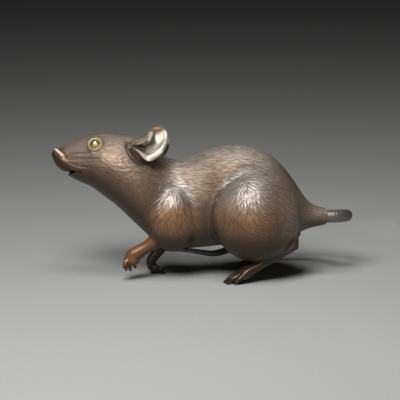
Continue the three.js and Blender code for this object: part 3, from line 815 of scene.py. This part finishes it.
def ringed_tail_tree():
    """Sweeps a round section along a line, swelling and pinching it into fine rings."""
    tree = bpy.data.node_groups.new("ringed_tail", "GeometryNodeTree")
    face = tree.interface
    face.new_socket("Geometry", in_out="INPUT", socket_type="NodeSocketGeometry")
    for name, kind, value in (
        ("Sides", "NodeSocketInt", TAIL_SIDES),
        ("Ring Spacing", "NodeSocketFloat", TAIL_RING_SPACING),
        ("Ring Depth", "NodeSocketFloat", TAIL_RING_DEPTH),
        ("Metal", "NodeSocketMaterial", None),
    ):
        socket = face.new_socket(name, in_out="INPUT", socket_type=kind)
        if value is not None:
            socket.default_value = value
    face.new_socket("Geometry", in_out="OUTPUT", socket_type="NodeSocketGeometry")
    given = node(tree, "NodeGroupInput")
    line = node(tree, "GeometryNodeMeshToCurve", {"Mesh": given.outputs["Geometry"]})
    along = node(tree, "GeometryNodeSplineParameter")
    turns = maths(tree, "DIVIDE", along.outputs["Length"], given.outputs["Ring Spacing"])
    wave = maths(tree, "SINE", maths(tree, "MULTIPLY", turns, 2 * math.pi))
    swell = maths(tree, "MULTIPLY_ADD", wave, given.outputs["Ring Depth"], 1.0)
    thick = node(tree, "GeometryNodeInputNamedAttribute", {"Name": "thick"}, data_type="FLOAT")
    section = node(tree, "GeometryNodeCurvePrimitiveCircle", {
        "Resolution": given.outputs["Sides"], "Radius": 1.0,
    })
    swept = node(tree, "GeometryNodeCurveToMesh", {
        "Curve": line.outputs["Curve"],
        "Profile Curve": section.outputs["Curve"],
        "Scale": maths(tree, "MULTIPLY", thick.outputs["Attribute"], swell),
        "Fill Caps": True,
    })
    painted = node(tree, "GeometryNodeSetMaterial", {
        "Geometry": swept.outputs["Mesh"], "Material": given.outputs["Metal"],
    })
    real = node(tree, "GeometryNodeRealizeInstances", {"Geometry": painted.outputs["Geometry"]})
    node(tree, "NodeGroupOutput", {"Geometry": real.outputs["Geometry"]})
    return tree


def face_outward(mesh):
    """Turns a closed mesh's faces outward and shades it smooth."""
    bm = bmesh.new()
    bm.from_mesh(mesh)
    bmesh.ops.recalc_face_normals(bm, faces=bm.faces)
    bm.to_mesh(mesh)
    bm.free()
    mesh.shade_smooth()


def tail_piece(metal):
    """The ringed tail, swept along its course."""
    points, radii = tail_course()
    line = bpy.data.meshes.new("tail_line")
    line.from_pydata(to_row(points).tolist(), [(i, i + 1) for i in range(len(points) - 1)], [])
    layer = line.attributes.new("thick", "FLOAT", "POINT")
    layer.data.foreach_set("value", (radii / MM_PER_METRE).astype(np.float32))
    piece = new_object("mouse_tail", line)
    sweep = piece.modifiers.new("rings", "NODES")
    sweep.node_group = ringed_tail_tree()
    entries = sweep.node_group.interface.items_tree
    sockets = {entry.name: entry.identifier for entry in entries if entry.in_out == "INPUT"}
    sweep[sockets["Ring Spacing"]] = TAIL_RING_SPACING
    sweep[sockets["Ring Depth"]] = TAIL_RING_DEPTH
    sweep[sockets["Metal"]] = metal
    solid = plain_mesh(piece)
    piece.modifiers.clear()
    piece.data = solid
    bpy.data.meshes.remove(line)
    face_outward(solid)
    return piece


def eye_piece(name, flank, metal, around=40, across=26):
    """A gilt bead, hammered a little and turned with a fine collar where it meets the lid."""
    rng = np.random.default_rng(EYE_SEEDS[flank])
    axis = np.array([0, 0, HEAD_AXIS_Z])
    gaze = rolled((EYE_GAZE * [1, flank, 1] + axis)[None])[0] - axis
    gaze /= np.linalg.norm(gaze)
    side = np.cross(gaze, [0, 0, 1])
    side /= np.linalg.norm(side)
    top = np.cross(side, gaze)
    centre = rolled(np.array([EYE * [1, flank, 1]]))[0]
    dents = rng.normal(size=(EYE_DENT_COUNT, 3))
    dents /= np.linalg.norm(dents, axis=1, keepdims=True)

    def surface(tilt, turn):
        """The point at a tilt from the gaze and a turn round it."""
        way = gaze * math.cos(tilt) + (side * math.cos(turn) + top * math.sin(turn)) * math.sin(tilt)
        collar = EYE_COLLAR_DEPTH * bell(math.degrees(tilt) - EYE_COLLAR_TILT, EYE_COLLAR_WIDTH)
        dent = EYE_DENT_DEPTH * sum(math.exp(-(1 - way @ middle) / EYE_DENT_SPREAD) for middle in dents)
        return centre + way * (EYE_RADIUS * (1 - collar) - dent)

    points = [surface(0, 0)]
    for i in range(1, across):
        points += [surface(math.pi * i / across, 2 * math.pi * j / around) for j in range(around)]
    points.append(surface(math.pi, 0))
    last = len(points) - 1
    faces = [(0, 1 + j, 1 + (j + 1) % around) for j in range(around)]
    for i in range(across - 2):
        row = 1 + i * around
        below = row + around
        faces += [
            (row + j, below + j, below + (j + 1) % around, row + (j + 1) % around) for j in range(around)
        ]
    row = last - around
    faces += [(last, row + (j + 1) % around, row + j) for j in range(around)]
    mesh = bpy.data.meshes.new(name)
    mesh.from_pydata(to_row(points).tolist(), [], faces)
    face_outward(mesh)
    mesh.materials.append(metal)
    return new_object(name, mesh)


def node(tree, kind, inputs=None, **settings):
    """A new node with its settings made and its inputs set or linked, by name or by number."""
    made = tree.nodes.new(kind)
    for name, value in settings.items():
        setattr(made, name, value)
    for name, value in (inputs or {}).items():
        socket = made.inputs[name]
        if isinstance(value, bpy.types.NodeSocket):
            tree.links.new(value, socket)
        elif socket.type == "RGBA":
            socket.default_value = (*value, 1)
        else:
            socket.default_value = value
    return made


def maths(tree, operation, *values, clamp=False):
    """A sum on numbers or sockets, as a socket."""
    made = node(tree, "ShaderNodeMath", dict(enumerate(values)), operation=operation, use_clamp=clamp)
    return made.outputs[0]


def blend(tree, share, first, second):
    """One colour laid over another by a share."""
    return node(tree, "ShaderNodeMix", {0: share, 6: first, 7: second}, data_type="RGBA").outputs[2]


def between(tree, value, low, high, to_low=0.0, to_high=1.0):
    """A value carried smoothly from one range to another, as a socket."""
    made = node(tree, "ShaderNodeMapRange", {
        "Value": value, "From Min": low, "From Max": high, "To Min": to_low, "To Max": to_high,
    }, interpolation_type="SMOOTHSTEP")
    return made.outputs["Result"]


def noise(tree, place, scale, detail):
    """A cloudy noise over a place, as a socket."""
    made = node(tree, "ShaderNodeTexNoise", {"Vector": place, "Scale": scale, "Detail": detail})
    return made.outputs["Fac"]


def zone_of(tree, name):
    """A share that is kept on the mesh, as a socket."""
    return node(tree, "ShaderNodeAttribute", attribute_name=name).outputs["Fac"]


def worn_patina():
    """Patina that is cloudy, speckled and rubbed through to a paler metal: a group that the metals share."""
    tree = bpy.data.node_groups.new("worn_patina", "ShaderNodeTree")
    face = tree.interface
    for name, kind in (
        ("Place", "NodeSocketVector"), ("Dark", "NodeSocketColor"), ("Worn", "NodeSocketColor"),
        ("Wear", "NodeSocketFloat"), ("Cloud", "NodeSocketFloat"),
    ):
        face.new_socket(name, in_out="INPUT", socket_type=kind)
    for name, kind in (
        ("Color", "NodeSocketColor"), ("Roughness", "NodeSocketFloat"), ("Height", "NodeSocketFloat"),
    ):
        face.new_socket(name, in_out="OUTPUT", socket_type=kind)
    given = node(tree, "NodeGroupInput").outputs
    cloud = noise(tree, given["Place"], CLOUD_SCALE, detail=4.0)
    speck = noise(tree, given["Place"], SPECK_SCALE, detail=3.0)
    cloudy = maths(tree, "MULTIPLY", maths(tree, "SUBTRACT", cloud, 0.5), given["Cloud"])
    speckled = maths(tree, "MULTIPLY_ADD", maths(tree, "SUBTRACT", speck, 0.5), SPECK_SHARE, cloudy)
    share = maths(tree, "ADD", given["Wear"], speckled, clamp=True)
    node(tree, "NodeGroupOutput", {
        "Color": blend(tree, share, given["Dark"], given["Worn"]),
        "Roughness": between(tree, share, 0.0, 1.0, PATINA_ROUGHNESS, WORN_ROUGHNESS),
        "Height": speck,
    })
    return tree


def new_metal(name, metallic):
    """A new metal, with its tree, its shader and the socket of where its points lie."""
    material = bpy.data.materials.new(name)
    material.use_nodes = True
    tree = material.node_tree
    shader = tree.nodes["Principled BSDF"]
    shader.inputs["Metallic"].default_value = metallic
    shader.inputs["Coat Roughness"].default_value = COAT_ROUGHNESS
    return material, tree, shader, node(tree, "ShaderNodeTexCoord").outputs["Object"]


def lay_patina(tree, shader, given, bump=0.05):
    """Lays the shared patina, with its inputs given, over a metal. Returns the patina's roughness."""
    skin = node(tree, "ShaderNodeGroup", given, node_tree=bpy.data.node_groups["worn_patina"]).outputs
    relief = node(tree, "ShaderNodeBump", {
        "Height": skin["Height"], "Strength": bump, "Distance": BUMP_HEIGHT,
    })
    tree.links.new(skin["Color"], shader.inputs["Base Color"])
    tree.links.new(relief.outputs["Normal"], shader.inputs["Normal"])
    return skin["Roughness"]


def body_worn(tree, place):
    """The rubbed colour: grey-brown above with painted top light, copper on the muscles, dark below with
    painted shade underneath, and bright in the ears with painted highlights and shade.
    """
    spot = node(tree, "ShaderNodeSeparateXYZ", {"Vector": place}).outputs
    colour = blend(tree, between(tree, spot["Z"], 0.012, 0.032), BELLY_TONE, FLANK_TONE)
    colour = blend(tree, between(tree, spot["X"], 0.022, 0.038, 0.0, 0.8), colour, RUMP_TONE)
    # Higher up the colour turns paler: partly grey-brown patina, partly painted top light
    high = between(tree, spot["Z"], 0.030, 0.046)
    behind_head = between(tree, spot["X"], -0.036, -0.014, 0.25, 1.0)
    colour = blend(tree, maths(tree, "MULTIPLY", high, behind_head), colour, BACK_TONE_AND_TOP_LIGHT)
    colour = blend(tree, between(tree, spot["X"], -0.040, -0.022, 0.45, 0.0), colour, HEAD_TONE)
    blotch = between(tree, noise(tree, place, BLOTCH_SCALE, detail=2.0), 0.48, 0.66, 0.0, 0.5)
    colour = blend(tree, blotch, colour, BLOTCH_TONE)
    for zone, share, tone in ZONE_TONES:
        colour = blend(tree, maths(tree, "MULTIPLY", zone_of(tree, zone), share), colour, tone)
    return colour


def body_wear(tree):
    """How far the patina is rubbed away: least in the strokes, and least in hollows, where the darker patina
    also stands for painted shade.
    """
    kept = maths(tree, "MULTIPLY_ADD", zone_of(tree, "groove"), -0.95, 0.90)
    return maths(tree, "MULTIPLY_ADD", zone_of(tree, "hollow_patina_and_shade"), -0.55, kept)


def body_bronze():
    """Brown bronze: glossy in the ears, on rubbed muscles painted with a paler sheen and on the nose's edge
    with its painted highlight, dull in brown patches.
    """
    material, tree, shader, place = new_metal("brown_bronze", BRONZE_METALLIC)
    rough = lay_patina(tree, shader, {
        "Place": place, "Dark": (0.045, 0.031, 0.021), "Worn": body_worn(tree, place),
        "Wear": body_wear(tree), "Cloud": 0.45,
    })
    polished = zone_of(tree, "ear_inner")
    painted_nose_highlight = zone_of(tree, "painted_nose_highlight")
    rough = maths(tree, "MULTIPLY", rough, maths(tree, "MULTIPLY_ADD", polished, -0.5, 1.0))
    rough = maths(tree, "MULTIPLY_ADD", zone_of(tree, "brown"), 0.3, rough)
    gloss = maths(tree, "MAXIMUM", polished, maths(tree, "MAXIMUM", zone_of(tree, "rubbed_and_sheen"), painted_nose_highlight))
    # Where a highlight is painted into the colour, the metal turns dielectric
    painted_highlight = maths(tree, "MAXIMUM", zone_of(tree, "ear_painted_highlight"), painted_nose_highlight)
    for name, value in (
        ("Roughness", rough),
        ("Metallic", between(tree, painted_highlight, 0.0, 1.0, BRONZE_METALLIC, 0.0)),
        ("Coat Weight", between(tree, gloss, 0.0, 1.0, BRONZE_THIN_COAT, BRONZE_COAT)),
    ):
        tree.links.new(value, shader.inputs[name])
    return material


def tail_black():
    """Satin black bronze, worn a little."""
    material, tree, shader, place = new_metal("blackened_bronze", 0.6)
    rough = lay_patina(tree, shader, {
        "Place": place, "Dark": (0.012, 0.011, 0.010), "Worn": (0.34, 0.32, 0.29), "Wear": 0.5, "Cloud": 0.5,
    })
    tree.links.new(rough, shader.inputs["Roughness"])
    return material


def eye_gilt():
    """Polished gilding, a little darker in clouds."""
    material, tree, shader, place = new_metal("gilt", 1.0)
    lay_patina(tree, shader, {
        "Place": place, "Dark": (0.42, 0.27, 0.09), "Worn": (0.88, 0.71, 0.40), "Wear": 0.8, "Cloud": 0.4,
    }, bump=0.02)
    shader.inputs["Roughness"].default_value = 0.38
    return material


def add_camera():
    """A long lens a metre away, looking a little down on the left flank."""
    lens = bpy.data.cameras.new("camera")
    lens.lens = 225
    lens.sensor_width = 36
    lens.clip_end = 20
    camera = new_object("camera", lens)
    away = Vector((0, -math.cos(VIEW_LIFT), math.sin(VIEW_LIFT)))
    camera.location = Vector(to_row(VIEW_TARGET)) + away * VIEW_DISTANCE
    camera.rotation_euler = away.to_track_quat("Z", "Y").to_euler()
    bpy.context.scene.camera = camera


def add_softbox(name, place, aim, side, power, spread):
    """A square lamp that is aimed at a point, with its beam narrowed to a spread in degrees."""
    lamp = bpy.data.lights.new(name, "AREA")
    lamp.shape = "RECTANGLE"
    lamp.size = side
    lamp.size_y = side
    lamp.energy = power
    lamp.spread = math.radians(spread)
    holder = new_object(name, lamp)
    holder.location = place
    holder.rotation_euler = (Vector(place) - Vector(aim)).to_track_quat("Z", "Y").to_euler()


def add_floor():
    """A plain pale floor with a fine grain."""
    mesh = bpy.data.meshes.new("floor")
    corners = [(-1, -1), (1, -1), (1, 1), (-1, 1)]
    mesh.from_pydata([(x * FLOOR_REACH, y * FLOOR_REACH, 0) for x, y in corners], [], [(0, 1, 2, 3)])
    floor = new_object("floor", mesh)
    paper = bpy.data.materials.new("pale_floor")
    paper.use_nodes = True
    tree = paper.node_tree
    shader = tree.nodes["Principled BSDF"]
    place = node(tree, "ShaderNodeTexCoord").outputs["Object"]
    grain = noise(tree, place, FLOOR_GRAIN_SCALE, detail=3.0)
    tree.links.new(blend(tree, grain, *FLOOR_TONES), shader.inputs["Base Color"])
    shader.inputs["Roughness"].default_value = 0.8
    mesh.materials.append(paper)


def add_studio():
    """The camera, the lamps, the dim surroundings and the floor."""
    scene = bpy.context.scene
    scene.view_settings.view_transform = "Standard"
    add_camera()
    for softbox in SOFTBOXES:
        add_softbox(*softbox)
    world = bpy.data.worlds.new("studio")
    world.use_nodes = True
    world.node_tree.nodes["Background"].inputs["Color"].default_value = (*SURROUNDINGS, 1)
    scene.world = world
    add_floor()


def settle(piece, node_name):
    """Has a piece ride on the root, in the place of a solid and in the look of a slot."""
    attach(piece, "root")
    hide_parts(node_name)


add_studio()
worn_patina()
bronze = body_bronze()
black = tail_black()
gilt = eye_gilt()

settle(body_piece(bronze), "body")
settle(tail_piece(black), "tail")
settle(eye_piece("left_eye", -1, gilt), "eye_left")
settle(eye_piece("right_eye", 1, gilt), "eye_right")
